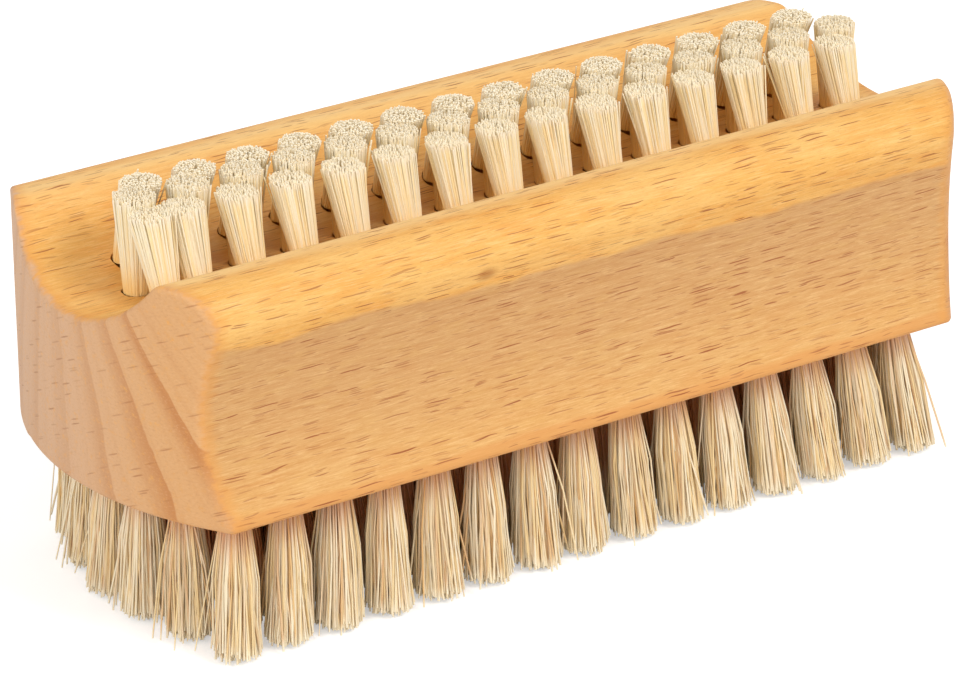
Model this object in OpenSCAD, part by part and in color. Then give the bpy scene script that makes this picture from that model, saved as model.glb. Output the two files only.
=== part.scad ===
// Double-sided nail brush: a moulded beech block with six rows of tufts below
// and three rows in the trough on top. X runs along the block, -Y is its front
// side, and Z = 0 is the plane of the lower bristle tips, on which it stands.

/* [Block] */
// Length over the rounded ends
block_l = 95; // [85:1:120]
// Width across the lower edge
block_w = 38.8; // [36:0.2:46]
// Height of the wood, from its underside to the tops of the rails
block_h = 23.2; // [21:0.1:28]
// Radius of the rounded ends, seen from above
end_r = 33.4; // [30:0.2:42]
// Radius of the four upright corners
corner_r = 2.1; // [1:0.1:3]
// Radius of the edges that run round each end
edge_r = 1.2; // [0.5:0.1:1.6]

/* [Finger grooves] */
// Depth of the groove along each side, from the lower edge inwards
groove_depth = 2.75; // [1.5:0.05:3.5]
// Radius of the groove
groove_r = 21; // [18:0.5:26]
// Height of the deepest line of the groove above the underside
groove_z = 10.8; // [9.5:0.1:12.5]
// Radius of the rounded outer side of each rail
rail_r = 3.8; // [3:0.1:4.4]

/* [Trough] */
// Radius of the trough along the top
trough_r = 15.5; // [13.5:0.1:16.5]
// Depth of the trough below the tops of the rails
trough_depth = 6.35; // [4.5:0.05:7]
// Radius where the trough turns into a rail's top
lip_r = 1.6; // [0.8:0.1:2]

/* [Lower tufts] */
// Length of the lower bristles below the wood
lower_l = 14.5; // [10:0.5:20]
// Tufts in each lower row
lower_count = 15; // [13:1:16]
// Distance from the block's lower edge to the outer rows, at their roots
lower_side = 5.4; // [5.1:0.1:6.6]
// Distance from the rounded end to the first tuft of a lower row
lower_end = 6.4; // [5:0.1:9]
// Radius of a lower tuft where it leaves the wood
lower_root_r = 1.3; // [1.2:0.05:1.7]
// Radius of a lower tuft at its tips
lower_tip_r = 2.4; // [1.6:0.05:2.5]
// Depth of the holes for the lower tufts
lower_depth = 7; // [5:0.5:8]
// How far the outer rows' tips lie outside their roots, across the block
splay_y = 1.6; // [0:0.1:3]
// How far the tips at the ends of a row lie outside their roots, along the block
splay_x = 2; // [0:0.1:3]

/* [Upper tufts] */
// Height of the upper tips above the rails
upper_l = 3; // [1:0.5:6]
// Distance between neighbouring upper rows, at their roots
upper_pitch = 5.2; // [4.9:0.1:6]
// Distance between neighbouring tufts of an upper row
upper_step = 5.76; // [5.2:0.02:5.9]
// Tufts of the front and the middle row, counted from the first of the middle row
upper_count = 15; // [12:1:15]
// Place of the middle row's first tuft, from the middle of the block
upper_start = 39.4; // [38:0.1:40.5]
// How far the back row is set along the block from the middle row
back_shift = 2; // [1.4:0.1:3]
// How far the front row is set back from the middle row
front_shift = 2.1; // [1.4:0.1:3]
// Gap between the front row's first tuft and its second
front_first = 3.6; // [3.4:0.1:4]
// Lean of the outer rows towards the middle, in degrees
upper_lean = 12; // [6:1:12]
// Radius of an upper tuft where it leaves the wood
upper_root_r = 1.35; // [1.2:0.05:1.5]
// Radius of an upper tuft at its tips
upper_tip_r = 1.65; // [1.45:0.05:1.65]
// Depth of the holes for the upper tufts
upper_depth = 6; // [4:0.5:6.5]

/* [Tufts and anchors] */
// Gap between the strands of a tuft at its tips
strand_gap = 0.5; // [0.3:0.05:0.6]
// Gap between a tuft or anchor and its hole
hole_gap = 0.1; // [0.05:0.05:0.2]
// Thickness of the flat anchor wire
wire_t = 0.4; // [0.3:0.05:0.6]
// Height of the flat anchor wire
wire_h = 1.4; // [1:0.1:2]

/* [Hidden] */
$fn = 96;

lower_rows = 6;
strands = 3;
sides = 2 * strands;
hole_sides = 10;
tuft_turn = 25;
past = 1;

// Heights in the part's frame
under_z = lower_l;
rail_z = under_z + block_h;
tip_z = rail_z + upper_l;

// Centres of the arcs of the moulding, as [y, z] above the underside
groove_c = [block_w / 2 - groove_depth + groove_r, groove_z];
rail_rise = block_h - rail_r - groove_z;
rail_c = [groove_c.x - sqrt(pow(groove_r + rail_r, 2) - pow(rail_rise, 2)), block_h - rail_r];
trough_c = [0, block_h - trough_depth + trough_r];
lip_drop = trough_c.y - block_h + lip_r;
lip_c = [sqrt(pow(trough_r + lip_r, 2) - pow(lip_drop, 2)), block_h - lip_r];

// Centres of the arcs of the plan, as [x, y]
end_c = [block_l / 2 - end_r, 0];
corner_y = block_w / 2 - corner_r;
corner_c = [end_c.x + sqrt(pow(end_r - corner_r, 2) - pow(corner_y, 2)), corner_y];

// Height of the trough's surface, and half the block's length, at a distance y
function trough_z(y) = under_z + trough_c.y - sqrt(pow(trough_r, 2) - pow(y, 2));
function end_x(y) = end_c.x + sqrt(pow(end_r, 2) - pow(y, 2));

// Each tuft is [middle of its root, middle of its tips]; u and v run from -1 to 1
lower_reach_y = block_w / 2 - lower_side;
function lower_row(row) =
    let (v = 2 * (row - 1) / (lower_rows - 1) - 1,
        y = v * lower_reach_y,
        reach_x = end_x(y) - lower_end)
    [for (i = [0 : lower_count - 1])
        let (u = 2 * i / (lower_count - 1) - 1)
        [[u * reach_x, y, under_z], [u * (reach_x + splay_x), y + v * splay_y, 0]]];

function upper_tuft(x, side) =
    let (y = side * upper_pitch, z = trough_z(y), lean = (tip_z - z) * tan(upper_lean))
    [[x, y, z], [x, y - side * lean, tip_z]];
function upper_row(side, start, count) =
    [for (i = [0 : count - 1]) upper_tuft(start + i * upper_step, side)];

front_start = upper_step - upper_start - front_shift;
front_row = concat(
    [upper_tuft(front_start - front_first, -1)],
    upper_row(-1, front_start, upper_count - 1));
middle_row = upper_row(0, -upper_start, upper_count);
back_row = upper_row(1, back_shift - upper_start, upper_count - 1);

// Way into the wood from a tuft's root, and the turn that puts +Z along it
function inward(tuft) = (tuft[0] - tuft[1]) / norm(tuft[0] - tuft[1]);
function turn_to(way) = [-asin(way.y), atan2(way.x, way.z), 0];

// Cuts away what lies outside a circle, between two rays from its centre
module round_off(centre, r, outer) {
    difference() {
        polygon(concat([centre], outer));
        translate(centre) circle(r);
    }
}

// Section of half the block: what the grooves, the rails' rounding and the trough take off
module moulding_cuts() {
    top = block_h + past;
    translate(groove_c) circle(groove_r);
    round_off(rail_c, rail_r, [groove_c, [groove_c.x, top], [rail_c.x, top]]);
    round_off(lip_c, lip_r, [[lip_c.x, top], [0, top], trough_c]);
}

module moulding() {
    difference() {
        translate([-block_w / 2, 0]) square([block_w, block_h]);
        translate(trough_c) circle(trough_r);
        for (side = [0, 1]) mirror([side, 0]) moulding_cuts();
    }
}

// One rounded end: a disc whose rim is rounded above and below
module end_disc() {
    rotate_extrude() {
        square([end_r - edge_r, block_h]);
        translate([0, edge_r]) square([end_r, block_h - 2 * edge_r]);
        for (z = [edge_r, block_h - edge_r]) translate([end_r - edge_r, z]) circle(edge_r);
    }
}

module corner_cut() {
    way = (corner_c - end_c) / norm(corner_c - end_c);
    far = end_c + way * (end_r + past);
    side = block_w / 2 + past;
    translate([0, 0, -past]) linear_extrude(block_h + 2 * past)
        round_off(corner_c, corner_r, [far, [far.x, side], [corner_c.x, side]]);
}

module blank() {
    difference() {
        intersection() {
            rotate([90, 0, 90]) translate([0, 0, -block_l / 2 - past])
                linear_extrude(block_l + 2 * past) moulding();
            union() {
                for (side = [-1, 1]) translate([side * end_c.x, 0, 0]) end_disc();
                translate([-end_c.x, -block_w, -past])
                    cube([2 * end_c.x, 2 * block_w, block_h + 2 * past]);
            }
        }
        for (mx = [0, 1], my = [0, 1]) mirror([mx, 0, 0]) mirror([0, my, 0]) corner_cut();
    }
}

// A hole runs from just outside the wood to its depth below the tuft's root
module holes(row, r, depth) {
    corner = r / cos(180 / hole_sides);
    for (tuft = row) {
        way = inward(tuft);
        translate(tuft[0] - way * 2 * r) rotate(turn_to(way))
            cylinder(r = corner, h = depth + 2 * r, $fn = hole_sides);
    }
}

module block() {
    color("#d9a566") difference() {
        translate([0, 0, under_z]) blank();
        for (row = [1 : lower_rows]) holes(lower_row(row), lower_root_r + hole_gap, lower_depth);
        for (row = [front_row, middle_row, back_row])
            holes(row, upper_root_r + hole_gap, upper_depth);
    }
}

// A tuft is one solid: a butt in the hole, which parts into strands at the root
function ring(centre, r, turn) =
    [for (i = [0 : sides - 1])
        centre + r * [cos(turn + i * 360 / sides), sin(turn + i * 360 / sides), 0]];

function strand_tip(centre, r, turn, k) =
    let (a = turn + (2 * k + 1) * 360 / sides, shift = strand_gap * [cos(a), sin(a), 0])
    [for (p = concat([centre], [for (i = [0 : 2])
        let (b = a + (i - 1) * 360 / sides)
        centre + (r - strand_gap) * [cos(b), sin(b), 0]])) p + shift];

// Points: foot ring, root ring, middle of the root, then four points for each tip
root_0 = sides;
middle = 2 * sides;
tips_0 = middle + 1;
function tuft_faces() = concat(
    [for (i = [1 : sides - 2]) [0, i, i + 1]],
    [for (i = [0 : sides - 1]) let (j = (i + 1) % sides)
        each [[i, root_0 + i, root_0 + j], [i, root_0 + j, j]]],
    [for (k = [0 : strands - 1])
        let (t = tips_0 + 4 * k,
            low = [middle, for (i = [0 : 2]) root_0 + (2 * k + i) % sides])
        each concat(
            [for (i = [0 : 3]) let (j = (i + 1) % 4)
                each [[low[i], t + i, t + j], [low[i], t + j, low[j]]]],
            [[t, t + 2, t + 1], [t, t + 3, t + 2]])]);

function flipped(faces) = [for (f = faces) [f[0], f[2], f[1]]];

module tuft(place, root_r, tip_r, depth, turn) {
    root = place[0];
    tip = place[1];
    foot = root + inward(place) * depth;
    points = concat(
        ring(foot, root_r, turn),
        ring(root, root_r, turn),
        [root],
        [for (k = [0 : strands - 1]) each strand_tip(tip, tip_r, turn, k)]);
    polyhedron(points, tip.z > root.z ? tuft_faces() : flipped(tuft_faces()));
}

// The butt stops above the anchor, which lies at the bottom of the hole
module tufts(row, root_r, tip_r, depth) {
    butt = depth - wire_h - 2 * hole_gap;
    for (i = [0 : len(row) - 1]) tuft(row[i], root_r, tip_r, butt, i * tuft_turn);
}

module anchors(row, r, depth) {
    length = 2 * sqrt(pow(r, 2) - pow(wire_t / 2, 2));
    for (tuft = row) {
        way = inward(tuft);
        translate(tuft[0] + way * (depth - hole_gap - wire_h / 2)) rotate(turn_to(way))
            cube([length, wire_t, wire_h], center = true);
    }
}

module lower_tufts(row) {
    color("#d8c39c") tufts(lower_row(row), lower_root_r, lower_tip_r, lower_depth);
}

module upper_tufts(row) {
    color("#efe3bd") tufts(row, upper_root_r, upper_tip_r, upper_depth);
}

module lower_anchors(row) {
    color("#b9b4aa") anchors(lower_row(row), lower_root_r, lower_depth);
}

module upper_anchors(row) {
    color("#b9b4aa") anchors(row, upper_root_r, upper_depth);
}

block();
for (row = [1 : lower_rows]) {
    lower_tufts(row);
    lower_anchors(row);
}
upper_tufts(front_row);  // upper_tufts_front
upper_tufts(middle_row);  // upper_tufts_middle
upper_tufts(back_row);  // upper_tufts_back
upper_anchors(front_row);  // upper_anchors_front
upper_anchors(middle_row);  // upper_anchors_middle
upper_anchors(back_row);  // upper_anchors_back
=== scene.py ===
import math
import random

import bmesh
import bpy
from mathutils import Matrix, Vector, geometry


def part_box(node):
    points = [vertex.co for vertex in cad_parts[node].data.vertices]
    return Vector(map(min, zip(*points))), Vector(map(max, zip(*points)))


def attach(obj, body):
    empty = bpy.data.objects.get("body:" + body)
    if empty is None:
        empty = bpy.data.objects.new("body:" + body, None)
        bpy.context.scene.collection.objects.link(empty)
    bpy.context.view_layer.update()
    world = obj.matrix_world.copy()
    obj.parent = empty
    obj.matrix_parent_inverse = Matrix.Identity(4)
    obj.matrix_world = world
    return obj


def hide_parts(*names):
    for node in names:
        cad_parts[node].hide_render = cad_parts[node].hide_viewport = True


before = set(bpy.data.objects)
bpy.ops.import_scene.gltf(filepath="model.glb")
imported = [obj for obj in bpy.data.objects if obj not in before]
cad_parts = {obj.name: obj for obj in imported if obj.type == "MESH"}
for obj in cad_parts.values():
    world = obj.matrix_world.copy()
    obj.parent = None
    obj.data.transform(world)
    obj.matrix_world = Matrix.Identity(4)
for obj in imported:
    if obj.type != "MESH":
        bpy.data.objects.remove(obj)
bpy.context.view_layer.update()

# --- Camera -----------------------------------------------------------------
# A long lens looks down on the front left corner of the brush. Its angles,
# distance and focal length were found from the block's edges in the photo.
MM = 0.001
image_w = 962

view_azimuth = math.radians(33.993)
view_elevation = math.radians(23.883)
view_roll = math.radians(-0.533)
view_distance = 521.478 * MM
view_target = Vector((-1.313, 0, 16.985)) * MM
focal_px = 5396.17

back = Vector((-math.sin(view_azimuth) * math.cos(view_elevation),
               -math.cos(view_azimuth) * math.cos(view_elevation),
               math.sin(view_elevation)))
right = (-back).cross(Vector((0, 0, 1))).normalized()
up = right.cross(-back)
rolled_right = right * math.cos(view_roll) + up * math.sin(view_roll)
rolled_up = up * math.cos(view_roll) - right * math.sin(view_roll)

lens = bpy.data.cameras.new("camera")
lens.sensor_width = 36
lens.lens = focal_px * lens.sensor_width / image_w
lens.clip_start = 0.01
lens.clip_end = 10
camera = bpy.data.objects.new("camera", lens)
turn = Matrix((rolled_right, rolled_up, back)).transposed().to_4x4()
camera.matrix_world = Matrix.Translation(view_target + back * view_distance) @ turn
bpy.context.scene.collection.objects.link(camera)
bpy.context.scene.camera = camera

# --- Block ------------------------------------------------------------------
# One piece of beech, moulded along its length with a finger groove on each
# side and a trough between two rails. Its ends are rounded in plan, its edges
# are sanded, a blind hole is drilled for every tuft, and the wood is oiled.
low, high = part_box("block")
block_l = (high[0] - low[0]) / MM
block_w = (high[1] - low[1]) / MM
block_h = (high[2] - low[2]) / MM
under_z = low[2] / MM

end_r = 33.4
groove_depth = 2.75
groove_r = 21
groove_z = 10.8
rail_r = 3.8
trough_r = 15.5
trough_depth = 6.35
lip_r = 1.6
foot_r = 0.5

groove_y = block_w / 2 - groove_depth + groove_r
rail_z = block_h - rail_r
rail_y = groove_y - math.sqrt((groove_r + rail_r) ** 2 - (rail_z - groove_z) ** 2)
foot_y = groove_y - math.sqrt((groove_r + foot_r) ** 2 - (foot_r - groove_z) ** 2)
trough_z = block_h - trough_depth + trough_r
lip_z = block_h - lip_r
lip_y = math.sqrt((trough_r + lip_r) ** 2 - (trough_z - lip_z) ** 2)
end_c = block_l / 2 - end_r

# How far the sanding rounds the ends' edges, along each stretch of the moulding
under_rounding = 0.8
foot_rounding = 0.45
side_rounding = 1.8
top_rounding = 1.4
lip_rounding = 1.1
trough_rounding = 0.9
rounding_growth = 0.35

# The left end is crisper than the right one, most of all from crisp_y to its back
right_rounding = 1.1
left_rounding = 0.6
crisp_rounding = 0.35
crisp_y = 10


def end_x(y):
    """Half the block's length at the distance y from its middle plane."""
    return end_c + math.sqrt(end_r ** 2 - y ** 2)


def trough_floor(y):
    """The height of the trough's round floor."""
    return under_z + trough_z - math.sqrt(trough_r ** 2 - y ** 2)


def arc(cy, cz, r, start, stop, count, side, rounding):
    """Points (y, z), outward normals and end roundings along an arc of the moulding."""
    points = []
    for i in range(count + 1):
        a = math.radians(start + (stop - start) * i / count)
        n = Vector((math.cos(a), math.sin(a)))
        points.append((Vector((cy, cz)) + n * r, n * side, rounding))
    return points


def line(a, b, count, rounding):
    """The same along a straight stretch, without its two ends."""
    a, b = Vector(a), Vector(b)
    way = (b - a).normalized()
    n = Vector((way.y, -way.x))
    return [(a.lerp(b, i / count), n, rounding) for i in range(1, count)]


def angle(cy, cz, to_y, to_z):
    return math.degrees(math.atan2(to_z - cz, to_y - cy))


def moulding():
    """The section's outline, from the middle of the underside round to it again."""
    to_groove = angle(foot_y, foot_r, groove_y, groove_z)
    to_rail = angle(rail_y, rail_z, groove_y, groove_z)
    to_trough = angle(0, trough_z, lip_y, lip_z)
    groove_start = 180 + to_groove
    groove_stop = 180 + to_rail
    half = line((0, 0), (foot_y, 0), 20, under_rounding)
    half += arc(foot_y, foot_r, foot_r, -90, to_groove, 5, 1, foot_rounding)
    half += arc(groove_y, groove_z, groove_r, groove_start, groove_stop, 24, -1, side_rounding)[1:]
    half += arc(rail_y, rail_z, rail_r, to_rail, 90, 14, 1, side_rounding)[1:]
    half += line((rail_y, block_h), (lip_y, block_h), 2, top_rounding)
    half += arc(lip_y, lip_z, lip_r, 90, 180 + to_trough, 7, 1, lip_rounding)
    half += arc(0, trough_z, trough_r, to_trough, -90, 22, -1, trough_rounding)[1:]
    mirrored = [(Vector((-p.x, p.y)), Vector((-n.x, n.y)), r) for p, n, r in reversed(half[:-1])]
    foot = (Vector((0, 0)), Vector((0, -1)), under_rounding)
    return [foot] + half + mirrored


def soften(values, reach):
    """Running mean round a closed list."""
    n = len(values)
    return [sum(values[(i + k) % n] for k in range(-reach, reach + 1)) / (2 * reach + 1)
            for i in range(n)]


def foot_limit(p):
    """The largest rounding near the tight lower edge, so that the end's outline never folds."""
    away = max(foot_y - abs(p.x), p.y - foot_r, 0)
    return foot_rounding + rounding_growth * away


def end_limit(p, side):
    """The largest rounding at a point of the right end (side 1) or the left one (side -1)."""
    if side > 0:
        return right_rounding
    return left_rounding if p.x < crisp_y else crisp_rounding


def block_mesh():
    """Rings of the moulding from one end to the other, which shrink over the rounded edges."""
    outline = moulding()
    roundings = soften([r for _, _, r in outline], 2)
    roundings = [min(r, foot_limit(p)) for (p, _, _), r in zip(outline, roundings)]
    rings = []
    turns = 8
    lengths = 60
    for side in (-1, 1):
        for k in range(turns + 1):
            t = math.pi / 2 * (1 - k / turns)
            ring = []
            for (p, n, _), r in zip(outline, roundings):
                r = min(r, end_limit(p, side))
                q = p - n * r * (1 - math.cos(t))
                x = side * (end_x(q.x) - r * (1 - math.sin(t)))
                ring.append(Vector((x, q.x, under_z + q.y)))
            rings.append(ring)
    near, far = rings[:turns + 1], rings[turns + 1:][::-1]
    body = [[a.lerp(b, i / lengths) for a, b in zip(near[-1], far[0])] for i in range(1, lengths)]
    rings = near + body + far

    mesh = bmesh.new()
    made = [[mesh.verts.new(v) for v in ring] for ring in rings]
    count = len(outline)
    for a, b in zip(made, made[1:]):
        for i in range(count):
            j = (i + 1) % count
            mesh.faces.new((a[i], b[i], b[j], a[j]))
    for ring, side in ((made[0], -1), (made[-1], 1)):
        cap(mesh, ring, side)
    bmesh.ops.recalc_face_normals(mesh, faces=mesh.faces)
    return mesh


def cap(mesh, ring, side):
    """Closes an end with triangles that follow its round face."""
    edge = [Vector((v.co.y, v.co.z - under_z)) for v in ring]
    step = 1.2
    first_z = 0.4
    inner = []
    for i in range(int(block_w / step) + 2):
        for j in range(int(block_h / step) + 2):
            p = Vector((i * step - block_w / 2, j * step + first_z))
            if inside(p, edge) and min((p - q).length for q in edge) > step * 0.5:
                inner.append(p)
    border = [(i, (i + 1) % len(edge)) for i in range(len(edge))]
    points, _, faces, *_ = geometry.delaunay_2d_cdt(edge + inner, border, [], 1, 1e-6)
    made = list(ring)
    for p in points[len(edge):]:
        made.append(mesh.verts.new((side * end_x(p.x), p.x, under_z + p.y)))
    for face in faces:
        mesh.faces.new([made[i] for i in face])


def inside(p, edge):
    """Whether a line from the point crosses the closed edge an odd number of times."""
    hit = False
    for a, b in zip(edge, edge[1:] + edge[:1]):
        if (a.y > p.y) != (b.y > p.y) and p.x < (b.x - a.x) * (p.y - a.y) / (b.y - a.y) + a.x:
            hit = not hit
    return hit


# Where the tufts stand: each is (middle of its root, middle of its tips, whether it
# stands among others instead of showing on the outside, and so takes painted shade)
lower_count = 15
lower_rows = 6
lower_side = 5.4
lower_end = 6.4
splay_y = 1.6
splay_left = (1.2, 0.3, 0.6, 0.8, 0.2, -0.2)
splay_right = 2
upper_pitch = 5.2
upper_step = 5.76
upper_count = 15
upper_start = 39.4
front_first = -39.3
front_shift = -2.1
back_shift = 2
outer_x = 38
upper_l = 3
tip_z = under_z + block_h + upper_l


def lower_row(row):
    """One row along the block; the outer tufts splay outwards."""
    v = 2 * row / (lower_rows - 1) - 1
    y = v * (block_w / 2 - lower_side)
    reach = end_x(y) - lower_end
    places = [2 * i / (lower_count - 1) - 1 for i in range(lower_count)]
    return [(Vector((u * reach, y, under_z)),
             Vector((u * (reach + (splay_left[row] if u < 0 else splay_right)), y + v * splay_y, 0)),
             abs(u) < 1 and abs(v) < 1) for u in places]


def upper_row(places, y, lean, raised, slope, painted_shade):
    """One row in the trough: it leans across the block and is cut higher towards its left."""
    row = []
    for x in places:
        root = Vector((x, y, trough_floor(y)))
        rise = tip_z + raised - root.z - slope * x
        row.append((root, root + Vector((0, lean * rise, rise)), painted_shade and abs(x) < outer_x))
    return row


middle_x = [i * upper_step - upper_start for i in range(upper_count)]
front_start = upper_step - upper_start + front_shift
front_x = [front_first] + [front_start + i * upper_step for i in range(upper_count - 1)]
back_x = [i * upper_step - upper_start + back_shift for i in range(upper_count - 1)]
lower_tufts = [lower_row(row) for row in range(lower_rows)]
upper_tufts = {
    "front": upper_row(front_x, -upper_pitch, lean=0.34, raised=-0.5, slope=0.007, painted_shade=False),
    "middle": upper_row(middle_x, 0, lean=0, raised=0.4, slope=0.01, painted_shade=True),
    "back": upper_row(back_x, upper_pitch, lean=-0.36, raised=0.9, slope=0.002, painted_shade=False),
}

hole_gap = 0.1
hole_depth = 4.0
hole_taper = 0.96
rim_depth = 0.35
cutter_above = 2.5
cutter_sides = 20
lower_root_r = 1.3
upper_root_r = 1.35
lower_torn = 0.02
upper_torn = 0.07
block_crease = math.radians(38)


def drill(mesh, tuft, r, torn, dice):
    """A tapered cutter with a slightly torn edge, along a tuft's root."""
    root, tip, _ = tuft
    way = (root - tip).normalized()
    across = way.orthogonal().normalized()
    other = way.cross(across)
    wobble = [1 + torn * dice.uniform(-1, 1) for _ in range(cutter_sides)]
    smooth = [1] * cutter_sides
    rings = []
    for along, scale, edge in ((-cutter_above, 1.0, wobble), (rim_depth, 1.0, wobble),
                               (hole_depth, hole_taper, smooth)):
        ring = []
        for i in range(cutter_sides):
            a = 2 * math.pi * i / cutter_sides
            reach = r * scale * edge[i]
            place = root + way * along + (across * math.cos(a) + other * math.sin(a)) * reach
            ring.append(mesh.verts.new(place))
        rings.append(ring)
    for a, b in zip(rings, rings[1:]):
        for i in range(cutter_sides):
            j = (i + 1) % cutter_sides
            mesh.faces.new((a[i], a[j], b[j], b[i]))
    mesh.faces.new(rings[0][::-1])
    mesh.faces.new(rings[-1])


def to_object(mesh, name, scale=MM):
    """A mesh made in millimetres becomes an object in metres."""
    bmesh.ops.scale(mesh, vec=(scale,) * 3, verts=mesh.verts)
    data = bpy.data.meshes.new(name)
    mesh.to_mesh(data)
    mesh.free()
    piece = bpy.data.objects.new(name, data)
    bpy.context.scene.collection.objects.link(piece)
    return piece


def drilled_block():
    """The block with all its holes, as a plain mesh."""
    dice = random.Random(7)
    block = to_object(block_mesh(), "block_wood")
    cutters = bmesh.new()
    for row in lower_tufts:
        for tuft in row:
            drill(cutters, tuft, lower_root_r + hole_gap, lower_torn, dice)
    for row in upper_tufts.values():
        for tuft in row:
            drill(cutters, tuft, upper_root_r + hole_gap, upper_torn, dice)
    cutters = to_object(cutters, "cutters")
    boring = block.modifiers.new("holes", "BOOLEAN")
    boring.operation = "DIFFERENCE"
    boring.solver = "MANIFOLD"
    boring.object = cutters
    drilled = bpy.data.meshes.new_from_object(
        block.evaluated_get(bpy.context.evaluated_depsgraph_get()))
    block.modifiers.clear()
    block.data = drilled
    bpy.data.objects.remove(cutters)
    drilled.shade_smooth()
    drilled.set_sharp_from_angle(angle=block_crease)
    return block


class Wire:
    """A socket of a node tree, which takes part in Python expressions."""

    def __init__(self, graph, socket):
        self.graph = graph
        self.socket = socket

    def maths(self, operation, *values):
        return self.graph.node("ShaderNodeMath", {"operation": operation}, (self, *values))

    def __add__(self, other):
        return self.maths("ADD", other)

    def __sub__(self, other):
        return self.maths("SUBTRACT", other)

    def __rsub__(self, other):
        return self.graph.node("ShaderNodeMath", {"operation": "SUBTRACT"}, (other, self))

    def __mul__(self, other):
        return self.maths("MULTIPLY", other)

    def __truediv__(self, other):
        return self.maths("DIVIDE", other)

    __radd__ = __add__
    __rmul__ = __mul__

    def sqrt(self):
        return self.maths("SQRT")

    def abs(self):
        return self.maths("ABSOLUTE")

    def fract(self):
        return self.maths("FRACT")

    def ramp(self, start, stop):
        """0 up to start, 1 from stop on, smooth between them; start may be the larger one."""
        ends = (start, stop, 0, 1) if start < stop else (stop, start, 1, 0)
        settings = {"interpolation_type": "SMOOTHSTEP"}
        return self.graph.node("ShaderNodeMapRange", settings, (self, *ends))

    def out(self, name):
        """Another output of the same node."""
        return Wire(self.graph, self.socket.node.outputs[name])


class Graph:
    """A node tree, to which nodes are added with their settings first."""

    def __init__(self, tree):
        self.tree = tree

    def node(self, kind, settings=None, values=(), output=0):
        made = self.tree.nodes.new(kind)
        for name, value in (settings or {}).items():
            setattr(made, name, value)
        pairs = values.items() if isinstance(values, dict) else enumerate(values)
        for key, value in pairs:
            self.feed(made.inputs[key], value)
        return Wire(self, made.outputs[output])

    def feed(self, socket, value):
        if isinstance(value, Wire):
            self.tree.links.new(value.socket, socket)
        else:
            socket.default_value = value

    def mix(self, factor, a, b):
        """Colour a where the factor is 0 and b where it is 1."""
        return self.node("ShaderNodeMix", {"data_type": "RGBA"}, {0: factor, 6: a, 7: b}, 2)

    def noise(self, place, scale=1, detail=2, roughness=0.5):
        return self.node("ShaderNodeTexNoise", {}, {
            "Vector": place, "Scale": scale, "Detail": detail, "Roughness": roughness})

    def cells(self, place, dimensions):
        """Voronoi cells: the distance to the nearest one, and its own random colour."""
        made = self.node("ShaderNodeTexVoronoi", {"voronoi_dimensions": dimensions},
                         {"Vector": place, "Scale": 1, "Randomness": 1})
        return made, made.out("Color")

    def vector(self, operation, *values, output=0):
        return self.node("ShaderNodeVectorMath", {"operation": operation}, values, output)

    def length(self, vector):
        return self.vector("LENGTH", vector, output=1)

    def scaled(self, vector, factor):
        return self.node("ShaderNodeVectorMath", {"operation": "SCALE"},
                         {0: vector, "Scale": factor})

    def split(self, vector):
        made = self.node("ShaderNodeSeparateXYZ", values=(vector,))
        return made, made.out(1), made.out(2)

    def join(self, x, y, z):
        return self.node("ShaderNodeCombineXYZ", values=(x, y, z))


def linear(r, g, b):
    """A colour read off a screen, 0 to 255, as linear light."""
    def one(v):
        v /= 255
        return v / 12.92 if v <= 0.04045 else ((v + 0.055) / 1.055) ** 2.4
    return one(r), one(g), one(b), 1


def new_material(name):
    material = bpy.data.materials.new(name)
    material.use_nodes = True
    tree = material.node_tree
    return material, Graph(tree), tree.nodes["Principled BSDF"]


def beech_sides(graph, x, y, z, streaks):
    """Golden wood along the grain, with a pinkish band of heartwood in both grooves."""
    clouds = graph.noise(graph.join(x * 0.07, y * 0.4, z * 0.4), detail=2)
    patches = graph.noise(graph.join(x * 0.22, y * 0.9, z * 0.9 + 40), detail=3)
    gold = graph.mix(streaks.ramp(0.42, 0.68) * 0.5, linear(240, 180, 92), linear(229, 160, 72))
    gold = graph.mix(streaks.ramp(0.48, 0.28) * 0.35, gold, linear(248, 205, 132))
    gold = graph.mix(patches.ramp(0.5, 0.7) * 0.55, gold, linear(236, 160, 66))
    gold = graph.mix(clouds.ramp(0.55, 0.35) * 0.4, gold, linear(246, 200, 122))

    # The band is sharp above, and fades below
    side = y.abs()
    waver = graph.noise(graph.join(x * 0.09, y * 0.2, 7), detail=3) - 0.5
    top = waver * 3.2 + y * 0.06 - x * 0.02 + 17.7
    band = (z - top).ramp(0.35, -0.35) * z.ramp(-12, 12) * side.ramp(13.2, 15.2)
    tan = graph.mix(streaks.ramp(0.4, 0.7) * 0.6, linear(210, 160, 104), linear(196, 140, 84))
    tan = graph.mix(patches.ramp(0.5, 0.3) * 0.4, tan, linear(212, 163, 98))
    colour = graph.mix(band * 0.92, gold, tan)

    # Fine grain, darker and paler, and short specks in it
    grain = graph.noise(graph.join(x * 0.45, y * 9, z * 9), detail=5, roughness=0.75)
    colour = graph.mix(grain.ramp(0.5, 0.66) * 0.34, colour, linear(202, 140, 78))
    colour = graph.mix(grain.ramp(0.5, 0.34) * 0.34, colour, linear(254, 216, 154))
    specks = graph.noise(graph.join(x * 1.6, y * 11, z * 11 + 5), detail=2, roughness=0.8)
    colour = graph.mix(specks.ramp(0.56, 0.68) * 0.3, colour, linear(196, 128, 66))

    # Painted highlight: pale along the inner edge of each rail, beside the trough, where light catches
    # it. Orange brown along the lower edge
    painted_ridge_highlight = side.ramp(11.6, 12.8) * side.ramp(14.8, 13.6) * z.ramp(20.8, 22.2)
    colour = graph.mix(painted_ridge_highlight * 0.5, colour, linear(250, 210, 142))
    foot = (z + waver * 1.2).ramp(1.7, 1.1)
    return graph.mix(foot * 0.7, colour, linear(220, 152, 82))


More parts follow.
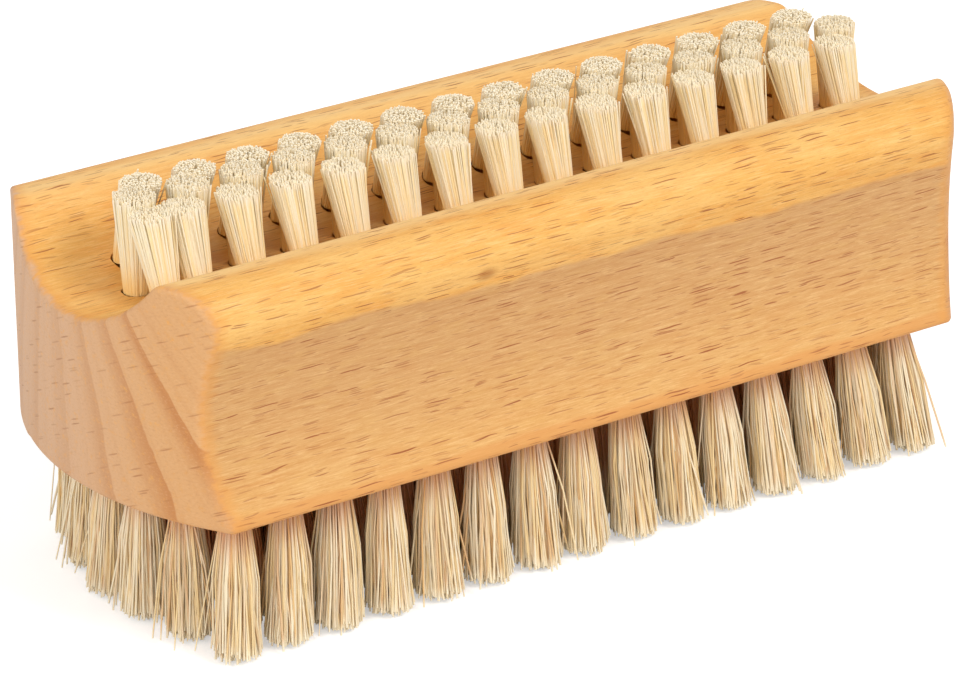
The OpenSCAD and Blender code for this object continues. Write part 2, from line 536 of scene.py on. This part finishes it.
def fleck_dashes(graph, x, y, z, long, thick, share, shift):
    """Short dashes along the grain, one in a share of the cells, each of its own strength."""
    bend = (graph.noise(graph.join(x * 0.25, y * 0.8, z * 0.8 + shift), detail=1) - 0.5) * 0.5
    place = graph.join(x / long + shift, (y + bend) / thick, (z + bend) / thick)
    near, own = graph.cells(place, "3D")
    lot, depth, _ = graph.split(own)
    return near.ramp(0.42, 0.3) * lot.ramp(1 - share, 1 - share * 0.9) * (depth * 0.5 + 0.5)


def end_grain(graph, y, z):
    """Growth rings, each darker towards its outer edge, where it stops short, and pores."""
    lean = (y - (z - 16) * 0.09) / (1.72 - z * 0.045)
    wobble = graph.noise(graph.join(y * 0.3, z * 0.14, 3), detail=4) - 0.5
    ring = (lean * 0.244 + wobble * 0.3 + 41.9).fract()
    fine = (lean * 0.61 + wobble * 0.5 + 40).fract()
    front = y.ramp(2, -16)
    dark = ring.ramp(0.6, 0.04) * ring.ramp(0.0, 0.04) * (front * 0.55 + 0.45) * lean.ramp(-16, -12)
    dark = dark + fine.ramp(0.5, 0.05) * fine.ramp(0.0, 0.05) * 0.12
    pores = graph.noise(graph.join(y * 3, z * 5, 1), detail=4, roughness=0.7)
    end = graph.mix(front, linear(219, 174, 134), linear(222, 168, 112))
    end = graph.mix(dark, end, graph.mix(front, linear(204, 152, 108), linear(200, 134, 76)))
    end = graph.mix(pores.ramp(0.5, 0.75) * 0.45, end, linear(190, 132, 88))
    end = graph.mix(pores.ramp(0.5, 0.25) * 0.35, end, linear(232, 190, 146))

    # Rays lie across the rings as short brown dashes
    place = graph.join((z * 0.45 - y) / 2.4, (z + y * 0.45) / 0.26, 0)
    near, own = graph.cells(place, "2D")
    lot, depth, _ = graph.split(own)
    rays = near.ramp(0.45, 0.2) * lot.ramp(0.86, 0.9) * depth
    return graph.mix(rays * 0.6, end, linear(168, 102, 54))


def oiled_beech():
    """Golden beech with a pinkish band, short dark flecks, and growth rings on the ends."""
    material, graph, wood = new_material("oiled_beech")
    place = graph.node("ShaderNodeTexCoord", output="Object")
    x, y, z = graph.split(graph.scaled(place, 1 / MM))
    z = z - under_z
    streaks = graph.noise(graph.join(x * 0.13, y * 2.4, z * 2.4), detail=4, roughness=0.6)
    colour = beech_sides(graph, x, y, z, streaks)

    # Flecks lie where the rays come to the surface, some strong and more of them faint
    strong = fleck_dashes(graph, x, y, z, long=4.4, thick=0.17, share=0.2, shift=0)
    faint = fleck_dashes(graph, x, y, z, long=2.6, thick=0.15, share=0.25, shift=31)
    flecks = strong.maths("MAXIMUM", faint * 0.55)
    colour = graph.mix(flecks * 0.9, colour, linear(156, 82, 42))

    # A small knot low on the front rail
    knot = graph.length(graph.join((x + 12.7) / 1.3, (z - 18.2) / 0.8, 0))
    colour = graph.mix(knot.ramp(1.2, 0.2) * y.ramp(-14, -16) * 0.7, colour, linear(176, 108, 40))

    # How deep a point lies under the rounded end tells end grain from the sides. Its
    # border is ragged, and the oil is darker beside it and on the sharp edge
    depth = (end_r ** 2 - y * y).sqrt() + end_c - x.abs()
    rags = graph.noise(graph.join(x * 0.3, y * 1.6, z * 1.6 + 9), detail=4, roughness=0.65)
    ragged = depth + (rags - 0.5) * 2.2
    colour = graph.mix(ragged.ramp(0.9, 0.1), colour, end_grain(graph, y, z))
    fringe = ragged.ramp(2.0, 0.8) * ragged.ramp(0.0, 0.7)
    colour = graph.mix(fringe * 0.4, colour, linear(228, 156, 74))
    arris = depth.ramp(0.7, 0.4) * depth.ramp(0.05, 0.3) * rags.ramp(0.3, 0.55)
    colour = graph.mix(arris * 0.4, colour, linear(226, 158, 84))
    graph.feed(wood.inputs["Base Color"], colour)

    height = streaks * 0.5 - flecks * 0.6
    bump = graph.node("ShaderNodeBump", {}, {"Strength": 0.3, "Distance": 0.0001, "Height": height})
    graph.feed(wood.inputs["Normal"], bump)
    graph.feed(wood.inputs["Roughness"], streaks * 0.15 + 0.4 + flecks * 0.2)
    wood.inputs["Specular IOR Level"].default_value = 0.35
    return material


block = drilled_block()
block.data.materials.clear()
block.data.materials.append(oiled_beech())
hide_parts("block")
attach(block, "root")

# --- Lower tufts ------------------------------------------------------------
# Six rows of fibre tufts, beige and slightly kinked. Each tuft is folded over
# a flat wire at the bottom of its hole, spreads as it leaves the wood, and is
# cut level at its tips, on which the brush stands.
golden_angle = 2.39996
outward_power = 0.38
stray_lean = 5
bristle_sides = 5
bristle_taper = 0.4
bristle_crease = math.radians(80)


def tuft_tree():
    """Geometry nodes: bristles from a point mesh that carries each tuft's tip."""
    tree = bpy.data.node_groups.new("tufts", "GeometryNodeTree")
    tree.interface.new_socket("Geometry", in_out="OUTPUT", socket_type="NodeSocketGeometry")
    wanted = {"Geometry": "Geometry", "Bristles": "Int", "Rings": "Int", "Root radius": "Float",
              "Tip radius": "Float", "Bristle radius": "Float", "Jitter": "Float", "Bend": "Float",
              "Ragged": "Float", "Dome": "Float", "Strays": "Float", "Seed": "Int",
              "Material": "Material"}
    for name, kind in wanted.items():
        tree.interface.new_socket(name, in_out="INPUT", socket_type="NodeSocket" + kind)
    source = tree.nodes.new("NodeGroupInput")
    graph = Graph(tree)
    given = {name: Wire(graph, source.outputs[name]) for name in wanted}

    def rand(low_value, high_value, salt):
        """A random number for each element, or a vector where the ends are vectors."""
        kind, first, output = ("FLOAT", 2, 1)
        if isinstance(low_value, tuple):
            kind, first, output = ("FLOAT_VECTOR", 0, 0)
        own = graph.node("GeometryNodeInputIndex")
        values = {first: low_value, first + 1: high_value, "ID": own,
                  "Seed": given["Seed"] * 31 + salt}
        return graph.node("FunctionNodeRandomValue", {"data_type": kind}, values, output)

    def store(mesh, name, value, kind="FLOAT"):
        return graph.node("GeometryNodeStoreNamedAttribute", {"data_type": kind, "domain": "POINT"},
                          {"Geometry": mesh, "Name": name, "Value": value})

    def named(name, kind="FLOAT"):
        return graph.node("GeometryNodeInputNamedAttribute", {"data_type": kind}, {"Name": name})

    points = graph.node("GeometryNodeMeshToPoints", {"mode": "VERTICES"}, {"Mesh": given["Geometry"]})
    copies = graph.node("GeometryNodeDuplicateElements", {"domain": "POINT"},
                        {"Geometry": points, "Amount": given["Bristles"]})
    number = copies.out("Duplicate Index")

    # A sunflower pattern fills the round root, and the same place at the tips; most
    # bristles stand near the outside, where they are seen, and a few stray further
    reach = ((number + 0.5) / given["Bristles"]).maths("POWER", outward_power)
    around = number * golden_angle + rand(-0.3, 0.3, 1)
    spot = graph.join(around.maths("COSINE") * reach, around.maths("SINE") * reach, 0)
    root = graph.node("GeometryNodeInputPosition")
    stray = rand(0, 1, 2).maths("LESS_THAN", given["Strays"])
    loose = given["Jitter"] * (stray * (stray_lean - 1) + 1)
    shift = graph.scaled(rand((-1, -1, 0), (1, 1, 0), 3), loose)
    start = graph.vector("ADD", root, graph.scaled(spot, given["Root radius"]))
    tip_spot = graph.scaled(spot, given["Tip radius"])
    stop = graph.vector("ADD", graph.vector("ADD", named("tip", "FLOAT_VECTOR"), tip_spot), shift)
    way = graph.vector("SUBTRACT", stop, start)
    short = given["Ragged"] * rand(0, 1, 4) + given["Dome"] * reach * reach
    bend = graph.scaled(rand((-1, -1, 0), (1, 1, 0), 5), given["Bend"])

    seeds = store(copies, "bend", bend, "FLOAT_VECTOR")
    seeds = store(seeds, "shade", rand(0, 1, 6))
    seeds = store(seeds, "outer", reach)
    seeds = store(seeds, "length", graph.length(way) * (1 - short))
    seeds = store(seeds, "way", way, "FLOAT_VECTOR")
    seeds = graph.node("GeometryNodeSetPosition", {}, {"Geometry": seeds, "Position": start})

    # One bristle, thinner towards its tip; a third ring lets it bend
    spine = graph.node("GeometryNodeCurvePrimitiveLine", {}, {"Start": (0, 0, 0), "End": (0, 0, 1)})
    spine = graph.node("GeometryNodeResampleCurve", {"mode": "COUNT"},
                       {"Curve": spine, "Count": given["Rings"]})
    along = graph.node("GeometryNodeSplineParameter")
    spine = graph.node("GeometryNodeSetCurveRadius", {},
                       {"Curve": spine, "Radius": 1 - along * along * bristle_taper})
    ring = graph.node("GeometryNodeCurvePrimitiveCircle", {"mode": "RADIUS"},
                      {"Resolution": bristle_sides, "Radius": given["Bristle radius"]})
    bristle = graph.node("GeometryNodeCurveToMesh", {},
                         {"Curve": spine, "Profile Curve": ring, "Fill Caps": True})
    _, _, height = graph.split(graph.node("GeometryNodeInputPosition"))
    bristle = store(bristle, "along", height)

    # One is set at every place, turned along its way, and bowed in the middle
    turn_to = graph.node("FunctionNodeAlignRotationToVector", {"axis": "Z"},
                         {"Vector": named("way", "FLOAT_VECTOR")})
    thick = rand(0.75, 1.25, 7)
    bristles = graph.node("GeometryNodeInstanceOnPoints", {},
                          {"Points": seeds, "Instance": bristle, "Rotation": turn_to,
                           "Scale": graph.join(thick, thick, named("length"))})
    hair = graph.node("GeometryNodeRealizeInstances", {}, {"Geometry": bristles})
    up_it = named("along")
    bow = up_it * (1 - up_it) * 4
    offset = graph.scaled(named("bend", "FLOAT_VECTOR"), bow)
    hair = graph.node("GeometryNodeSetPosition", {}, {"Geometry": hair, "Offset": offset})
    hair = graph.node("GeometryNodeSetMaterial", {}, {"Geometry": hair, "Material": given["Material"]})
    sink = tree.nodes.new("NodeGroupOutput")
    tree.links.new(hair.socket, sink.inputs[0])
    return tree


def bristle_material(name, pale, warm, dark, painted_root_shade, tip_tone):
    """Fibre: each bristle has its own tone and is paler at the cut tip; painted shade browns it
    towards the root, inside the tuft and in tufts among others.
    """
    material, graph, fibre = new_material(name)

    def number(attribute):
        return graph.node("ShaderNodeAttribute", {"attribute_name": attribute}, output="Fac")

    shade = number("shade")
    along = number("along")
    place = graph.node("ShaderNodeTexCoord", output="Object")
    mottle = graph.noise(place, scale=900)
    colour = graph.mix(shade.ramp(0.35, 0.95), pale, warm)
    colour = graph.mix(shade.ramp(0.2, 0.05) * 0.35, colour, dark)
    # Painted shade: the bristles inside a tuft, seen between the outer ones, are darker below the tip
    colour = graph.mix(number("outer").ramp(0.9, 0.7) * along.ramp(1.0, 0.9) * 0.6, colour, dark)
    colour = graph.mix(mottle.ramp(0.45, 0.75) * 0.3, colour, warm)
    # Painted shade: browner towards the root, and over most of the length in tufts that stand among
    # others
    painted_shade = (along - number("inner") * 0.5).ramp(0.42, 0.0)
    colour = graph.mix(painted_shade * 0.75, colour, painted_root_shade)
    colour = graph.mix(along.ramp(0.9, 1.0) * 0.6, colour, tip_tone)
    graph.feed(fibre.inputs["Base Color"], colour)
    fibre.inputs["Roughness"].default_value = 0.5
    fibre.inputs["Specular IOR Level"].default_value = 0.3
    return material


def plant(name, tufts, node, material, sizes):
    """One row of tufts: points at the roots, grown into bristles and made a plain mesh."""
    data = bpy.data.meshes.new(name)
    data.from_pydata([root * MM for root, _, _ in tufts], [], [])
    tips = data.attributes.new("tip", "FLOAT_VECTOR", "POINT").data
    for i, (_, tip, _) in enumerate(tufts):
        tips[i].vector = tip * MM
    # Whether the tuft stands among others, so that its bristles take painted shade
    inners = data.attributes.new("inner", "FLOAT", "POINT").data
    for i, (_, _, inner) in enumerate(tufts):
        inners[i].value = inner
    piece = bpy.data.objects.new(name, data)
    bpy.context.scene.collection.objects.link(piece)
    growth = piece.modifiers.new("bristles", "NODES")
    growth.node_group = growing
    keys = {item.name: item.identifier for item in growing.interface.items_tree
            if item.in_out == "INPUT"}
    for key, value in sizes.items():
        growth[keys[key]] = value
    growth[keys["Material"]] = material
    grown = bpy.data.meshes.new_from_object(
        piece.evaluated_get(bpy.context.evaluated_depsgraph_get()))
    piece.modifiers.clear()
    piece.data = grown
    grown.shade_smooth()
    grown.set_sharp_from_angle(angle=bristle_crease)
    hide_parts(node)
    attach(piece, "root")


growing = tuft_tree()
# The root colour is painted shade under the block and between the tufts
lower_fibre = bristle_material(
    "beige_fibre", pale=linear(250, 236, 206), warm=linear(244, 216, 162),
    dark=linear(218, 160, 88), painted_root_shade=linear(204, 110, 24), tip_tone=linear(254, 242, 216))
lower_sizes = {"Bristles": 500, "Rings": 3, "Root radius": 1.22 * MM, "Tip radius": 2.15 * MM,
               "Bristle radius": 0.092 * MM, "Jitter": 0.4 * MM, "Bend": 0.45 * MM,
               "Ragged": 0.07, "Dome": 0.03, "Strays": 0.05}
for i, row in enumerate(lower_tufts):
    plant(f"lower_bristles_{i + 1}", row, f"lower_tufts_{i + 1}", lower_fibre,
          {**lower_sizes, "Seed": i + 1})

# --- Upper tufts ------------------------------------------------------------
# Three rows of shorter, paler tufts in the trough, set in holes as the lower
# ones are. The outer rows lean towards the middle one, and all are cut a
# little above the rails.
# The root colour is painted shade down in the trough and between the tufts
upper_fibre = bristle_material(
    "cream_fibre", pale=linear(255, 245, 217), warm=linear(255, 234, 182),
    dark=linear(255, 220, 150), painted_root_shade=linear(255, 214, 126), tip_tone=linear(255, 243, 222))
upper_sizes = {"Bristles": 800, "Rings": 2, "Root radius": 1.24 * MM, "Tip radius": 2.0 * MM,
               "Bristle radius": 0.085 * MM, "Jitter": 0.14 * MM, "Bend": 0.0,
               "Ragged": 0.06, "Dome": 0.05, "Strays": 0.03}
for i, (place, row) in enumerate(upper_tufts.items()):
    plant(f"upper_bristles_{place}", row, f"upper_tufts_{place}", upper_fibre,
          {**upper_sizes, "Seed": i + 11})

# --- Wire anchors -----------------------------------------------------------
# Short lengths of flat steel wire, one across the bottom of every hole, which
# hold the folded tufts. They are drawn and cut, and nothing covers their grey.


def drawn_wire():
    material, graph, steel = new_material("drawn_wire")
    place = graph.node("ShaderNodeTexCoord", output="Object")
    x, y, z = graph.split(place)
    lines = graph.noise(graph.join(x * 400, y * 6000, z * 6000))
    colour = graph.mix(lines.ramp(0.3, 0.7), linear(172, 168, 160), linear(205, 202, 196))
    graph.feed(steel.inputs["Base Color"], colour)
    steel.inputs["Metallic"].default_value = 1
    graph.feed(steel.inputs["Roughness"], lines * 0.2 + 0.3)
    return material


wire = drawn_wire()
for name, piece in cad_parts.items():
    if "anchors" in name:
        piece.data.materials.clear()
        piece.data.materials.append(wire)

# --- Floor and light --------------------------------------------------------
# A white ground that keeps a faint shadow, a soft lamp in front on the right,
# a wider and weaker one on the left, and an even white surround.
floor_half = 3
surround_light = 0.6


def white_ground():
    """White paper, which also glows a little for the camera alone, so that it shows white."""
    material, graph, paper = new_material("white_ground")
    paper.inputs["Base Color"].default_value = (0.9, 0.9, 0.9, 1)
    paper.inputs["Roughness"].default_value = 0.9
    paper.inputs["Specular IOR Level"].default_value = 0
    seen = graph.node("ShaderNodeLightPath", output="Is Camera Ray")
    paper.inputs["Emission Color"].default_value = (1, 1, 1, 1)
    graph.feed(paper.inputs["Emission Strength"], seen * 0.45)
    return material


ground = bmesh.new()
bmesh.ops.create_grid(ground, x_segments=1, y_segments=1, size=floor_half)
floor = to_object(ground, "floor", 1)
floor.data.materials.append(white_ground())


def lamp(name, place, size, power):
    light = bpy.data.lights.new(name, "AREA")
    light.size = size
    light.energy = power
    holder = bpy.data.objects.new(name, light)
    holder.location = place
    holder.rotation_euler = (-Vector(place)).to_track_quat("-Z", "Y").to_euler()
    bpy.context.scene.collection.objects.link(holder)


lamp("key", (0.3, -0.8, 0.85), size=0.45, power=5.2)
lamp("fill", (-0.9, -0.5, 0.5), size=0.9, power=4.6)

# The surround lights the brush weakly, and shows and mirrors as full white
world = bpy.data.worlds.new("surround")
world.use_nodes = True
sky = world.node_tree
graph = Graph(sky)
seen = graph.node("ShaderNodeLightPath", output="Is Camera Ray")
shown = seen.maths("MAXIMUM", seen.out("Is Glossy Ray"))
strength = shown * (1 - surround_light) + surround_light
graph.feed(sky.nodes["Background"].inputs["Strength"], strength)
sky.nodes["Background"].inputs["Color"].default_value = (1, 1, 1, 1)
bpy.context.scene.world = world
bpy.context.scene.view_settings.view_transform = "Standard"
